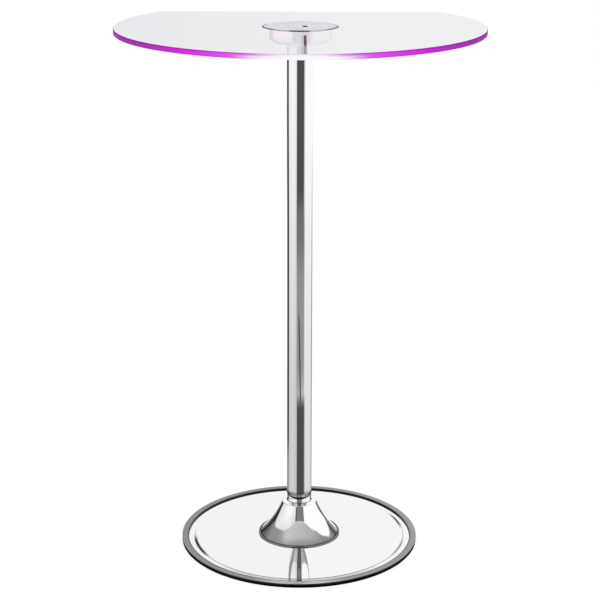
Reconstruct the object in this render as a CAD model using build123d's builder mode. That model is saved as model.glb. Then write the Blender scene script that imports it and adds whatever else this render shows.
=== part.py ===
from build123d import *
import os
from math import cos, radians, sin

os.makedirs("parts", exist_ok=True)

# Table as a whole, in millimetres. The origin is on the floor, on the column's axis.
# The straight edge of the glass is at the back, on the +Y side.
table_height = 1040
overrun = 4
weld_clearance = 0.05
slide_clearance = 0.3

# Glass: two laminated sheets of one outline, the lower one with a hole for the light unit
glass_radius = 349
glass_back_reach = 211
glass_corner_radius = 4
glass_arris = 0.8
sheet_thickness = 5
light_hole_clearance = 1.0

# Top plate of the light unit, with rim notches that let the light out between its lobes
plate_radius = 72.5
plate_thickness = 2.5
plate_edge_round = 0.5
notch_count = 5
notch_arc = 27
notch_depth = 3.5
first_notch_angle = -49
sensor_offset = 9
sensor_hole_radius = 4

# LED board under the plate's rim, and the chips in the notches
led_board_width = 24
led_board_thickness = 1.6
led_board_setback = 0.5
led_length = 3.5
led_depth = 2.4
led_height = 1.5
leds_per_notch = 3
led_angle_step = 8.5

# Hub and flange that join the plate to the column
hub_reach = 9
hub_thickness = 6
hub_bore_radius = 16
flange_thickness = 4
flange_bore_radius = 13
spigot_depth = 10
spigot_bore_radius = 18
flange_screw_count = 6
flange_screw_edge_distance = 4.5
flange_screw_radius = 2.5
flange_screw_head_radius = 4.2
flange_screw_head_height = 2.8
flange_screw_play = 0.25
flange_screw_grip_length = 4.5
flange_screw_socket_depth = 1.5

# Column tube
column_radius = 25
column_wall = 1.5
column_end_break = 0.5

# Light cup round the column's top
cup_setback = 14
cup_wall = 1.2
cup_corner_radius = 11
cup_height = 29.9

# Control board and what stands on it
control_board_clearance = 0.4
control_board_thickness = 1.6
receiver_width = 5.6
receiver_body_height = 4.1
receiver_dome_clearance = 0.4
receiver_dome_drop = 0.4
capacitor_radius = 2.5
capacitor_height = 4
chip_height = 1.2
driver_chip_length = 6
driver_chip_width = 4
driver_chip_place = (-7, -4)
decoder_chip_length = 5
decoder_chip_width = 5
decoder_chip_place = (-1, 8)
capacitor_place = (-9, 5)

# Battery cells and the tray that holds them
cell_count = 3
cell_radius = 7.25
cell_length = 49.5
cell_nub_radius = 2.75
cell_nub_length = 1
cell_edge_round = 0.5
cradle_gap = 1.05
cell_play = 0.3
cell_head_room = 0.15
tray_inner_gap = 2
tray_outer_gap = 3.3
tray_web = 1.2
tray_drop = 13.3
tray_side_wall = 1.3
tray_end_wall = 1.2
tray_lip_reach = 3.5
contact_room = 2.2
contact_plate = 0.4
contact_width = 8
contact_boss_radius = 1.6
contact_play = 0.1
first_cell_angle = 90
between_cells = 60

# Pillars and screws that hang the tray from the plate
pillar_edge_distance = 10
pillar_radius = 3
pillar_thread_depth = 8
tray_screw_radius = 1.5
tray_screw_play = 0.2
tray_screw_head_radius = 2.6
tray_screw_head_height = 1.8
tray_screw_grip_length = 6.5
tray_screw_socket_depth = 0.9

# Leaf springs that grip the cup's wall
clip_width = 10
clip_sheet = 0.6
clip_foot_length = 4.5
clip_height = 9.5

# Push button, its switch and the tray's boss for it
button_circle_reach = 11
button_angle = -90
button_radius = 5.4
button_play = 0.1
button_stand_out = 1.2
button_edge_round = 0.6
button_flange_radius = 7
button_flange_height = 1
button_stem_radius = 2
button_travel = 0.8
button_stop_gap = 0.05
switch_width = 6
switch_height = 3.5
switch_plunger_radius = 1.7
switch_plunger_height = 1
switch_boss_width = 7.6
switch_boss_height = 6.5

# Leads inside the light unit
lead_radius = 0.75
lead_hole_radius = 1.2
lead_drop = 1.7
lead_bend_radius = 4
lead_inner_radius = 10
supply_lead_angle = -30
supply_lead_reach = 15
terminal_length = 7
terminal_width = 6
terminal_height = 2.8
led_lead_angle = 90
led_lead_inset = 4

# Foot of the column
collar_top = 96
collar_setback = 0.6
collar_end_break = 0.6
foot_spigot_height = 40
foot_bore_radius = 18
foot_flange_setback = 19
foot_flange_thickness = 6
foot_bolt_count = 4
foot_bolt_edge_distance = 17
foot_bolt_radius = 4
foot_bolt_play = 0.5
foot_bolt_head_radius = 7
foot_bolt_head_height = 5.3
foot_bolt_shank_length = 12
foot_bolt_socket_depth = 3

# Cone cover: a trumpet with a shallow sloping top, a crisp shoulder and a rolled lip
cone_wall = 1.2
cone_top = 81.7
cone_shoulder_reach = 9.4
cone_shoulder_drop = 2.5
cone_shoulder_round = 2.4
cone_waist_setback = 27.4
cone_waist_height = 42
cone_foot_radius = 81
cone_lip_roll = 1.4
cone_seat_gap = 0.05

# Floor base: pressed disc, rim ring, ballast and pad
base_radius = 238.5
pad_thickness = 1
pad_inset = 1
rim_width = 13.2
rim_top_height = 8.3
rim_outer_round = 3
rim_inner_round = 1.2
rim_wall = 1.6
shell_wall = 1.5
shell_bore_radius = 20
shell_centre_height = 9.5
shell_flat_margin = 5
shell_edge_clearance = 0.4
shell_edge_band = 12.9
shell_edge_height = 5.4
shell_step_height = 6.5
shell_step_drop = 0.8
ballast_setback = 7
ballast_clearance = 0.3

# Levels, worked down from the table's top
lower_glass_top = table_height - sheet_thickness
lower_glass_bottom = lower_glass_top - sheet_thickness
plate_bottom = lower_glass_top - plate_thickness
led_board_bottom = plate_bottom - led_board_thickness
hub_bottom = plate_bottom - hub_thickness
flange_bottom = hub_bottom - flange_thickness
cup_top = led_board_bottom
cup_bottom = cup_top - cup_height
cup_floor = cup_bottom + cup_wall
tray_top = plate_bottom - tray_drop
tray_bottom = tray_top - tray_web
cell_axis_height = tray_bottom - cell_radius - cell_head_room
tray_skirt_bottom = cell_axis_height - tray_lip_reach
lead_height = flange_bottom - lead_drop
control_board_top = hub_bottom + control_board_thickness
switch_top = tray_bottom - switch_boss_height
switch_bottom = switch_top - switch_height
plunger_bottom = switch_bottom - switch_plunger_height

# Widths that follow from the sizes above
column_bore_radius = column_radius - column_wall
sliding_bore_radius = column_radius + slide_clearance
spigot_radius = column_bore_radius - weld_clearance
hub_radius = column_radius + hub_reach
flange_screw_circle = hub_radius - flange_screw_edge_distance
light_hole_radius = plate_radius + light_hole_clearance
led_board_radius = plate_radius - led_board_setback
led_board_inner_radius = led_board_radius - led_board_width
cup_radius = plate_radius - cup_setback
cup_inner_radius = cup_radius - cup_wall
tray_inner_radius = column_radius + tray_inner_gap
tray_outer_radius = cup_inner_radius - tray_outer_gap
pillar_circle = tray_outer_radius - pillar_edge_distance
clip_foot_radius = tray_outer_radius - clip_foot_length
button_circle = column_radius + button_circle_reach
supply_lead_start = column_radius + supply_lead_reach
led_lead_start = led_board_inner_radius + led_lead_inset
cell_pocket_radius = cell_radius + cell_play
cell_full_length = cell_length + cell_nub_length
pocket_length = cell_full_length + contact_room + contact_room
cradle_length = pocket_length + tray_end_wall + tray_end_wall
cradle_width = 2 * (cell_pocket_radius + tray_side_wall)
cell_centre_radius = column_radius + cradle_gap + cradle_width / 2
first_gap_angle = first_cell_angle - between_cells
collar_radius = column_radius - collar_setback
foot_flange_radius = cone_foot_radius - foot_flange_setback
foot_bolt_circle = foot_flange_radius - foot_bolt_edge_distance
cone_shoulder_radius = column_radius + cone_shoulder_reach
cone_waist_radius = cone_foot_radius - cone_waist_setback
shell_flat_radius = cone_foot_radius + shell_flat_margin
rim_inner_radius = base_radius - rim_width
shell_edge_radius = rim_inner_radius - shell_edge_clearance
shell_step_radius = shell_edge_radius - shell_edge_band
ballast_radius = shell_step_radius - ballast_setback


def polar_place(radius, angle):
    """Plan position at a radius and an angle from +X."""
    return (radius * cos(radians(angle)), radius * sin(radians(angle)))


def radial_plane(angle):
    """Upright plane through the column's axis: local x points outward, local y up."""
    outward = (cos(radians(angle)), sin(radians(angle)), 0)
    square = (sin(radians(angle)), -cos(radians(angle)), 0)
    return Plane(origin=(0, 0, 0), x_dir=outward, z_dir=square)


def facing_plane(angle):
    """Upright plane through the column's axis that faces outward at an angle from +X."""
    return radial_plane(angle + 90)


def ring_sector(inner_radius, outer_radius, arc):
    """Flat ring sector centred on +X."""
    with BuildSketch() as sector:
        with BuildLine():
            outer = CenterArc((0, 0), outer_radius, -arc / 2, arc)
            inner = CenterArc((0, 0), inner_radius, -arc / 2, arc)
            Line(outer @ 0, inner @ 0)
            Line(outer @ 1, inner @ 1)
        make_face()
    return sector.sketch


def save(piece, label):
    """Label a finished piece and write its file."""
    piece.part.label = label
    export_step(piece.part, f"parts/{label}.step")


# Outline shared by both glass sheets: a circle cut straight at the back
with BuildSketch() as glass_outline:
    Circle(glass_radius)
    with Locations((0, glass_back_reach)):
        Rectangle(2 * glass_radius, glass_radius, align=(Align.CENTER, Align.MIN), mode=Mode.SUBTRACT)
    fillet(glass_outline.vertices(), glass_corner_radius)

# Upper glass sheet
with BuildPart() as upper_glass:
    with BuildSketch(Plane.XY.offset(lower_glass_top)):
        add(glass_outline.sketch)
    extrude(amount=sheet_thickness)
    chamfer(upper_glass.edges().group_by(Axis.Z)[-1], glass_arris)
save(upper_glass, "upper_glass")

# Lower glass sheet, with the hole that the light unit's plate sits in
with BuildPart() as lower_glass:
    with BuildSketch(Plane.XY.offset(lower_glass_bottom)):
        add(glass_outline.sketch)
    extrude(amount=sheet_thickness)
    chamfer(lower_glass.edges().group_by(Axis.Z)[0], glass_arris)
    with BuildSketch(Plane.XY.offset(lower_glass_bottom)):
        Circle(light_hole_radius)
    extrude(amount=sheet_thickness, mode=Mode.SUBTRACT)
save(lower_glass, "lower_glass")

# Top plate: lobed disc with the receiver's hole
with BuildPart() as top_plate:
    with BuildSketch(Plane.XY.offset(plate_bottom)):
        Circle(plate_radius)
        notch = ring_sector(plate_radius - notch_depth, plate_radius + overrun, notch_arc)
        with PolarLocations(0, notch_count, start_angle=first_notch_angle):
            add(notch, mode=Mode.SUBTRACT)
        with Locations((sensor_offset, 0)):
            Circle(sensor_hole_radius, mode=Mode.SUBTRACT)
    extrude(amount=plate_thickness)
    outer_edges = top_plate.faces().sort_by(Axis.Z)[-1].outer_wire().edges()
    fillet(outer_edges, plate_edge_round)
save(top_plate, "top_plate")

# LED board: flat ring glued under the plate
with BuildPart() as led_board:
    with BuildSketch(Plane.XY.offset(led_board_bottom)):
        Circle(led_board_radius)
        Circle(led_board_inner_radius, mode=Mode.SUBTRACT)
    extrude(amount=led_board_thickness)
save(led_board, "led_board")

# LED chips: a row in each notch, on the board's rim
led_circle = led_board_radius - led_depth / 2
with BuildPart() as led_chips:
    with BuildSketch(Plane.XY.offset(plate_bottom)):
        for step in range(leds_per_notch):
            turn = (step - (leds_per_notch - 1) / 2) * led_angle_step
            with PolarLocations(led_circle, notch_count, start_angle=first_notch_angle + turn):
                Rectangle(led_depth, led_length)
    extrude(amount=led_height)
save(led_chips, "led_chips")

# Plate hub: thick disc welded under the plate, tapped for the flange's screws
with BuildPart() as plate_hub:
    with BuildSketch(Plane.XY.offset(hub_bottom)):
        Circle(hub_radius)
        Circle(hub_bore_radius, mode=Mode.SUBTRACT)
    extrude(amount=hub_thickness)
    with BuildSketch(Plane.XY.offset(hub_bottom)):
        with PolarLocations(flange_screw_circle, flange_screw_count):
            Circle(flange_screw_radius + weld_clearance)
    extrude(amount=flange_screw_grip_length + weld_clearance, mode=Mode.SUBTRACT)
save(plate_hub, "plate_hub")

# Column flange: disc on the tube's end, with a spigot down the tube
with BuildPart() as column_flange:
    with BuildSketch(Plane.XY.offset(flange_bottom)):
        Circle(hub_radius)
    extrude(amount=flange_thickness)
    with BuildSketch(Plane.XY.offset(flange_bottom)):
        Circle(spigot_radius)
    extrude(amount=-spigot_depth)
    with BuildSketch(Plane.XY.offset(flange_bottom)):
        Circle(spigot_bore_radius)
    extrude(amount=-spigot_depth, mode=Mode.SUBTRACT)
    with BuildSketch(Plane.XY.offset(flange_bottom)):
        Circle(flange_bore_radius)
        with PolarLocations(flange_screw_circle, flange_screw_count):
            Circle(flange_screw_radius + flange_screw_play)
    extrude(amount=flange_thickness, mode=Mode.SUBTRACT)
    for angle in (supply_lead_angle, led_lead_angle):
        with BuildSketch(facing_plane(angle)):
            with Locations((0, lead_height)):
                Circle(lead_hole_radius)
        extrude(amount=column_radius, mode=Mode.SUBTRACT)
save(column_flange, "column_flange")

# Six socket screws, up through the flange into the hub
with BuildPart() as flange_screws:
    with BuildSketch(Plane.XY.offset(flange_bottom)):
        with PolarLocations(flange_screw_circle, flange_screw_count):
            Circle(flange_screw_head_radius)
    extrude(amount=-flange_screw_head_height)
    with BuildSketch(Plane.XY.offset(flange_bottom)):
        with PolarLocations(flange_screw_circle, flange_screw_count):
            Circle(flange_screw_radius)
    extrude(amount=flange_thickness + flange_screw_grip_length)
    with BuildSketch(Plane.XY.offset(flange_bottom - flange_screw_head_height)):
        with PolarLocations(flange_screw_circle, flange_screw_count):
            RegularPolygon(flange_screw_radius, 6)
    extrude(amount=flange_screw_socket_depth, mode=Mode.SUBTRACT)
save(flange_screws, "flange_screws")

# Column tube, with a hole for each lead just below the flange
with BuildPart() as column_tube:
    with BuildSketch(Plane.XY.offset(collar_top)):
        Circle(column_radius)
        Circle(column_bore_radius, mode=Mode.SUBTRACT)
    extrude(amount=flange_bottom - collar_top)
    outer_end_edge = column_tube.edges().group_by(Axis.Z)[0].sort_by(SortBy.LENGTH)[-1]
    chamfer(outer_end_edge, column_end_break)
    for angle in (supply_lead_angle, led_lead_angle):
        with BuildSketch(facing_plane(angle)):
            with Locations((0, lead_height)):
                Circle(lead_hole_radius)
        extrude(amount=column_radius + overrun, mode=Mode.SUBTRACT)
save(column_tube, "column_tube")

# Control board, on the flange's inner ledge
with BuildPart() as control_board:
    with BuildSketch(Plane.XY.offset(hub_bottom)):
        Circle(hub_bore_radius - control_board_clearance)
    extrude(amount=control_board_thickness)
save(control_board, "control_board")

# Components on the control board
with BuildPart() as control_chips:
    with BuildSketch(Plane.XY.offset(control_board_top)):
        with Locations(driver_chip_place):
            Rectangle(driver_chip_length, driver_chip_width)
        with Locations(decoder_chip_place):
            Rectangle(decoder_chip_length, decoder_chip_width)
    extrude(amount=chip_height)
    with BuildSketch(Plane.XY.offset(control_board_top)):
        with Locations(capacitor_place):
            Circle(capacitor_radius)
    extrude(amount=capacitor_height)
save(control_chips, "control_chips")

# Infrared receiver: square body with a round window that fills the plate's hole
receiver_window_radius = sensor_hole_radius - receiver_dome_clearance
with BuildPart() as infrared_receiver:
    with BuildSketch(Plane.XY.offset(control_board_top)):
        with Locations((sensor_offset, 0)):
            Rectangle(receiver_width, receiver_width)
    extrude(amount=receiver_body_height)
    with BuildSketch(Plane.XY.offset(control_board_top + receiver_body_height)):
        with Locations((sensor_offset, 0)):
            Circle(receiver_window_radius)
    extrude(amount=lower_glass_top - receiver_dome_drop - control_board_top - receiver_body_height)
    fillet(infrared_receiver.edges().group_by(Axis.Z)[-1], receiver_dome_drop)
save(infrared_receiver, "infrared_receiver")

# Battery tray: web ring with a snap-in cradle for each cell, a boss and a terminal block
with BuildPart() as battery_tray:
    with BuildSketch(Plane.XY.offset(tray_bottom)):
        Circle(tray_outer_radius)
        Circle(tray_inner_radius, mode=Mode.SUBTRACT)
    extrude(amount=tray_web)
    with BuildSketch(Plane.XY.offset(tray_bottom)):
        with PolarLocations(cell_centre_radius, cell_count, start_angle=first_cell_angle):
            Rectangle(cradle_width, cradle_length)
    extrude(amount=tray_skirt_bottom - tray_bottom)
    for number in range(cell_count):
        angle = first_cell_angle + number * 360 / cell_count
        with BuildSketch(radial_plane(angle)):
            with Locations((cell_centre_radius, cell_axis_height)):
                Circle(cell_pocket_radius)
        extrude(amount=pocket_length / 2, both=True, mode=Mode.SUBTRACT)
    with BuildSketch(Plane.XY.offset(tray_bottom)):
        with Locations(Location(polar_place(button_circle, button_angle), button_angle)):
            Rectangle(switch_boss_width, switch_boss_width)
    extrude(amount=-switch_boss_height)
    with BuildSketch(Plane.XY.offset(tray_top)):
        terminal_middle = supply_lead_start + terminal_length / 2
        with Locations(Location(polar_place(terminal_middle, supply_lead_angle), supply_lead_angle)):
            Rectangle(terminal_length, terminal_width)
    extrude(amount=terminal_height)
    with BuildSketch(Plane.XY.offset(tray_bottom)):
        with PolarLocations(pillar_circle, cell_count, start_angle=first_gap_angle):
            Circle(tray_screw_radius + tray_screw_play)
    extrude(amount=tray_web, mode=Mode.SUBTRACT)
save(battery_tray, "battery_tray")

# Battery cells: cans with a round nub, each lying along its cradle
with BuildPart() as battery_cells:
    for number in range(cell_count):
        angle = first_cell_angle + number * 360 / cell_count
        with BuildSketch(radial_plane(angle).offset(-cell_full_length / 2)):
            with Locations((cell_centre_radius, cell_axis_height)):
                Circle(cell_radius)
        extrude(amount=cell_length)
        with BuildSketch(radial_plane(angle).offset(cell_full_length / 2)):
            with Locations((cell_centre_radius, cell_axis_height)):
                Circle(cell_nub_radius)
        extrude(amount=-cell_nub_length)
    fillet(battery_cells.edges().filter_by(GeomType.CIRCLE).group_by(SortBy.RADIUS)[-1], cell_edge_round)
save(battery_cells, "battery_cells")

# Battery contacts: a plate with a boss at each end of each pocket
contact_inner = cell_full_length / 2 + contact_play
with BuildPart() as battery_contacts:
    for number in range(cell_count):
        angle = first_cell_angle + number * 360 / cell_count
        for side in (-1, 1):
            with BuildSketch(radial_plane(angle).offset(side * pocket_length / 2)):
                with Locations((cell_centre_radius, cell_axis_height)):
                    Rectangle(contact_width, contact_width)
            extrude(amount=-side * contact_plate)
            with BuildSketch(radial_plane(angle).offset(side * pocket_length / 2)):
                with Locations((cell_centre_radius, cell_axis_height)):
                    Circle(contact_boss_radius)
            extrude(amount=-side * (pocket_length / 2 - contact_inner))
save(battery_contacts, "battery_contacts")

# Tray pillars: threaded posts welded under the plate
with BuildPart() as tray_pillars:
    with BuildSketch(Plane.XY.offset(tray_top)):
        with PolarLocations(pillar_circle, cell_count, start_angle=first_gap_angle):
            Circle(pillar_radius)
    extrude(amount=tray_drop)
    with BuildSketch(Plane.XY.offset(tray_top)):
        with PolarLocations(pillar_circle, cell_count, start_angle=first_gap_angle):
            Circle(tray_screw_radius + weld_clearance)
    extrude(amount=pillar_thread_depth, mode=Mode.SUBTRACT)
save(tray_pillars, "tray_pillars")

# Tray screws, up through the web into the pillars
with BuildPart() as tray_screws:
    with BuildSketch(Plane.XY.offset(tray_bottom)):
        with PolarLocations(pillar_circle, cell_count, start_angle=first_gap_angle):
            Circle(tray_screw_head_radius)
    extrude(amount=-tray_screw_head_height)
    with BuildSketch(Plane.XY.offset(tray_bottom)):
        with PolarLocations(pillar_circle, cell_count, start_angle=first_gap_angle):
            Circle(tray_screw_radius)
    extrude(amount=tray_web + tray_screw_grip_length)
    with BuildSketch(Plane.XY.offset(tray_bottom - tray_screw_head_height)):
        with PolarLocations(pillar_circle, cell_count, start_angle=first_gap_angle):
            RegularPolygon(tray_screw_radius, 6)
    extrude(amount=tray_screw_socket_depth, mode=Mode.SUBTRACT)
save(tray_screws, "tray_screws")

# Cup clips: leaf springs on the web that reach the cup's wall
clip_outer_radius = cup_inner_radius - slide_clearance
with BuildPart() as cup_clips:
    for number in range(cell_count):
        angle = first_gap_angle + number * 360 / cell_count
        with BuildSketch(radial_plane(angle)):
            with Locations((clip_foot_radius, tray_top)):
                Rectangle(clip_outer_radius - clip_foot_radius, clip_sheet, align=Align.MIN)
            with Locations((clip_outer_radius, tray_top)):
                Rectangle(clip_sheet, clip_height, align=(Align.MAX, Align.MIN))
        extrude(amount=clip_width / 2, both=True)
save(cup_clips, "cup_clips")

# Leads inside the light unit, each swept along its run in one upright plane
with BuildPart() as supply_lead:
    with BuildLine(radial_plane(supply_lead_angle)) as supply_run:
        FilletPolyline(
            (supply_lead_start, lead_height),
            (lead_inner_radius, lead_height),
            (lead_inner_radius, hub_bottom),
            radius=lead_bend_radius,
        )
    with BuildSketch(Plane(origin=supply_run.line @ 0, z_dir=supply_run.line % 0)):
        Circle(lead_radius)
    sweep(path=supply_run.line)
save(supply_lead, "supply_lead")

with BuildPart() as led_lead:
    with BuildLine(radial_plane(led_lead_angle)) as led_run:
        FilletPolyline(
            (led_lead_start, led_board_bottom),
            (led_lead_start, lead_height),
            (lead_inner_radius, lead_height),
            (lead_inner_radius, hub_bottom),
            radius=lead_bend_radius,
        )
    with BuildSketch(Plane(origin=led_run.line @ 0, z_dir=led_run.line % 0)):
        Circle(lead_radius)
    sweep(path=led_run.line)
save(led_lead, "led_lead")

# Tactile switch under the tray's boss
with BuildPart() as button_switch:
    with BuildSketch(Plane.XY.offset(switch_bottom)):
        with Locations(Location(polar_place(button_circle, button_angle), button_angle)):
            Rectangle(switch_width, switch_width)
    extrude(amount=switch_height)
    with BuildSketch(Plane.XY.offset(switch_bottom)):
        with Locations(polar_place(button_circle, button_angle)):
            Circle(switch_plunger_radius)
    extrude(amount=-switch_plunger_height)
save(button_switch, "button_switch")

# Light cup: drawn cup that slides along the column
with BuildPart() as light_cup:
    with BuildSketch(Plane.XY.offset(cup_bottom)):
        Circle(cup_radius)
    extrude(amount=cup_height)
    fillet(light_cup.edges().group_by(Axis.Z)[0], cup_corner_radius)
    offset(amount=-cup_wall, openings=light_cup.faces().sort_by(Axis.Z)[-1])
    with BuildSketch(Plane.XY.offset(cup_bottom)):
        Circle(sliding_bore_radius)
        with Locations(polar_place(button_circle, button_angle)):
            Circle(button_radius + button_play)
    extrude(amount=cup_wall, mode=Mode.SUBTRACT)
save(light_cup, "light_cup")

# Push button: cap, retaining flange and stem
stem_top = plunger_bottom - button_travel - button_stop_gap
with BuildPart() as power_button:
    with BuildSketch(Plane.XY.offset(cup_bottom - button_stand_out)):
        with Locations(polar_place(button_circle, button_angle)):
            Circle(button_radius)
    extrude(amount=button_stand_out + cup_wall)
    fillet(power_button.edges().group_by(Axis.Z)[0], button_edge_round)
    with BuildSketch(Plane.XY.offset(cup_floor)):
        with Locations(polar_place(button_circle, button_angle)):
            Circle(button_flange_radius)
    extrude(amount=button_flange_height)
    with BuildSketch(Plane.XY.offset(cup_floor)):
        with Locations(polar_place(button_circle, button_angle)):
            Circle(button_stem_radius)
    extrude(amount=stem_top - cup_floor)
save(power_button, "power_button")

# Foot of the column: floor flange, collar and spigot in one piece
foot_bottom = shell_centre_height
with BuildPart() as column_foot:
    with BuildSketch(Plane.XY.offset(foot_bottom)):
        Circle(foot_flange_radius)
    extrude(amount=foot_flange_thickness)
    with BuildSketch(Plane.XY.offset(foot_bottom)):
        Circle(collar_radius)
    extrude(amount=collar_top - foot_bottom)
    collar_edge = column_foot.edges().group_by(Axis.Z)[-1]
    chamfer(collar_edge, collar_end_break)
    with BuildSketch(Plane.XY.offset(collar_top - collar_end_break)):
        Circle(spigot_radius)
    extrude(amount=collar_end_break + foot_spigot_height)
    with BuildSketch(Plane.XY.offset(foot_bottom)):
        Circle(foot_bore_radius)
    extrude(amount=collar_top + foot_spigot_height - foot_bottom, mode=Mode.SUBTRACT)
    with BuildSketch(Plane.XY.offset(foot_bottom)):
        with PolarLocations(foot_bolt_circle, foot_bolt_count):
            Circle(foot_bolt_radius + foot_bolt_play)
    extrude(amount=foot_flange_thickness, mode=Mode.SUBTRACT)
save(column_foot, "column_foot")

# Foot bolts, down through flange and shell into the ballast
bolt_seat = foot_bottom + foot_flange_thickness
with BuildPart() as foot_bolts:
    with BuildSketch(Plane.XY.offset(bolt_seat)):
        with PolarLocations(foot_bolt_circle, foot_bolt_count):
            RegularPolygon(foot_bolt_head_radius, 6)
    extrude(amount=foot_bolt_head_height)
    with BuildSketch(Plane.XY.offset(bolt_seat)):
        with PolarLocations(foot_bolt_circle, foot_bolt_count):
            Circle(foot_bolt_radius)
    extrude(amount=-foot_bolt_shank_length)
    with BuildSketch(Plane.XY.offset(bolt_seat + foot_bolt_head_height)):
        with PolarLocations(foot_bolt_circle, foot_bolt_count):
            RegularPolygon(foot_bolt_radius, 6)
    extrude(amount=-foot_bolt_socket_depth, mode=Mode.SUBTRACT)
save(foot_bolts, "foot_bolts")

# Cone cover: solid of the outer shape, hollowed from below, with the column's hole on top
cone_foot = shell_centre_height + cone_seat_gap
with BuildPart() as cone_cover:
    with BuildSketch(Plane.XZ) as cone_section:
        with BuildLine():
            flank = ThreePointArc(
                (cone_shoulder_radius, cone_top - cone_shoulder_drop),
                (cone_waist_radius, cone_waist_height),
                (cone_foot_radius, cone_foot),
            )
            Polyline(
                flank @ 1,
                (0, cone_foot),
                (0, cone_top),
                (column_radius, cone_top),
                flank @ 0,
            )
        make_face()
        fillet(cone_section.vertices().sort_by_distance(flank @ 0)[0], cone_shoulder_round)
    revolve(axis=Axis.Z)
    offset(amount=-cone_wall, openings=cone_cover.faces().sort_by(Axis.Z)[0])
    with BuildSketch(Plane.XZ):
        with Locations((cone_foot_radius, cone_foot + cone_lip_roll)):
            Circle(cone_lip_roll)
    revolve(axis=Axis.Z)
    with BuildSketch(Plane.XY.offset(cone_top)):
        Circle(sliding_bore_radius)
    extrude(amount=-cone_shoulder_drop - cone_wall, mode=Mode.SUBTRACT)
save(cone_cover, "cone_cover")

# Base shell: shallow pressed disc with a step line near its edge
step_foot_height = shell_step_height - shell_step_drop
step_foot_radius = shell_step_radius + shell_step_drop
shell_outline = (
    (shell_bore_radius, shell_centre_height),
    (shell_flat_radius, shell_centre_height),
    (shell_step_radius, shell_step_height),
    (step_foot_radius, step_foot_height),
    (shell_edge_radius, shell_edge_height),
)
with BuildPart() as base_shell:
    with BuildSketch(Plane.XZ):
        with BuildLine():
            upper_side = Polyline(*shell_outline)
            lower_side = Polyline(*[(radius, height - shell_wall) for radius, height in shell_outline])
            Line(upper_side @ 0, lower_side @ 0)
            Line(upper_side @ 1, lower_side @ 1)
        make_face()
    revolve(axis=Axis.Z)
    with BuildSketch(Plane.XY.offset(shell_centre_height)):
        with PolarLocations(foot_bolt_circle, foot_bolt_count):
            Circle(foot_bolt_radius + foot_bolt_play)
    extrude(amount=-shell_wall, mode=Mode.SUBTRACT)
save(base_shell, "base_shell")

# Rim ring: rounded channel open to the floor, round the shell's edge
with BuildPart() as rim_ring:
    with BuildSketch(Plane.XZ) as rim_section:
        with BuildLine():
            Polyline(
                (rim_inner_radius, pad_thickness),
                (rim_inner_radius, rim_top_height),
                (base_radius, rim_top_height),
                (base_radius, pad_thickness),
                close=True,
            )
        make_face()
        top_corners = rim_section.vertices().group_by(Axis.Z)[-1].sort_by(Axis.X)
        fillet(top_corners[0], rim_inner_round)
        fillet(top_corners[-1], rim_outer_round)
    revolve(axis=Axis.Z)
    with BuildSketch(Plane.XY.offset(pad_thickness)):
        Circle(base_radius - rim_wall)
        Circle(rim_inner_radius + rim_wall, mode=Mode.SUBTRACT)
    extrude(amount=rim_top_height - rim_wall - pad_thickness, mode=Mode.SUBTRACT)
save(rim_ring, "rim_ring")

# Ballast: cast disc whose top follows the shell's underside
shell_fall = (shell_centre_height - shell_step_height) / (shell_step_radius - shell_flat_radius)
ballast_centre_height = shell_centre_height - shell_wall
ballast_slope_start = ballast_centre_height - ballast_clearance
ballast_edge_height = ballast_slope_start - shell_fall * (ballast_radius - shell_flat_radius)
with BuildPart() as base_weight:
    with BuildSketch(Plane.XZ):
        with BuildLine():
            Polyline(
                (0, pad_thickness),
                (ballast_radius, pad_thickness),
                (ballast_radius, ballast_edge_height),
                (shell_flat_radius, ballast_slope_start),
                (shell_flat_radius, ballast_centre_height),
                (0, ballast_centre_height),
                close=True,
            )
        make_face()
    revolve(axis=Axis.Z)
    with BuildSketch(Plane.XY.offset(ballast_centre_height)):
        with PolarLocations(foot_bolt_circle, foot_bolt_count):
            Circle(foot_bolt_radius + weld_clearance)
    extrude(amount=bolt_seat - foot_bolt_shank_length - weld_clearance - ballast_centre_height, mode=Mode.SUBTRACT)
save(base_weight, "base_weight")

# Floor pad: thin rubber disc under the whole base
with BuildPart() as floor_pad:
    with BuildSketch():
        Circle(base_radius - pad_inset)
    extrude(amount=pad_thickness)
save(floor_pad, "floor_pad")
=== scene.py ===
import math

import bpy
from mathutils import Matrix, Vector


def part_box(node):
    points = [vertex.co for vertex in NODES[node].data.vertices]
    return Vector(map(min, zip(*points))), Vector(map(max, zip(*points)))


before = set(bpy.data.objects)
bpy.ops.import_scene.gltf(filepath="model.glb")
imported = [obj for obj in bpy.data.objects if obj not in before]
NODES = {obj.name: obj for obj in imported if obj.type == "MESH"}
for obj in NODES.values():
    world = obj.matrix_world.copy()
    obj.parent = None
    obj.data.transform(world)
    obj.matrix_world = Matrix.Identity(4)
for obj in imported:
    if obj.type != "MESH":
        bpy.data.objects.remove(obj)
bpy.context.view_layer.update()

SCENE = bpy.context.scene

# Object's own places, read from the frame, in metres
TABLE_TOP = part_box("upper_glass")[1].z
GLASS_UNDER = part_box("lower_glass")[0].z
GLASS_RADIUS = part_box("upper_glass")[1].x
COLUMN_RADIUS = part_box("column_tube")[1].x
BASE_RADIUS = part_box("rim_ring")[1].x
RIM_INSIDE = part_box("base_shell")[1].x
PLATE_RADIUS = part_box("top_plate")[1].y

WHITE = (1.0, 1.0, 1.0, 1.0)
# Degrees in a radian
DEGREES = 180 / math.pi


def linear(value):
    """One display value, 0 to 255, as scene-linear light."""
    share = value / 255
    return share / 12.92 if share <= 0.04045 else ((share + 0.055) / 1.055) ** 2.4


def rgb(red, green, blue):
    """A display colour as a linear RGBA tuple."""
    return (linear(red), linear(green), linear(blue), 1.0)


def grey(value):
    """A display grey as a linear RGBA tuple."""
    return rgb(value, value, value)


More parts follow.
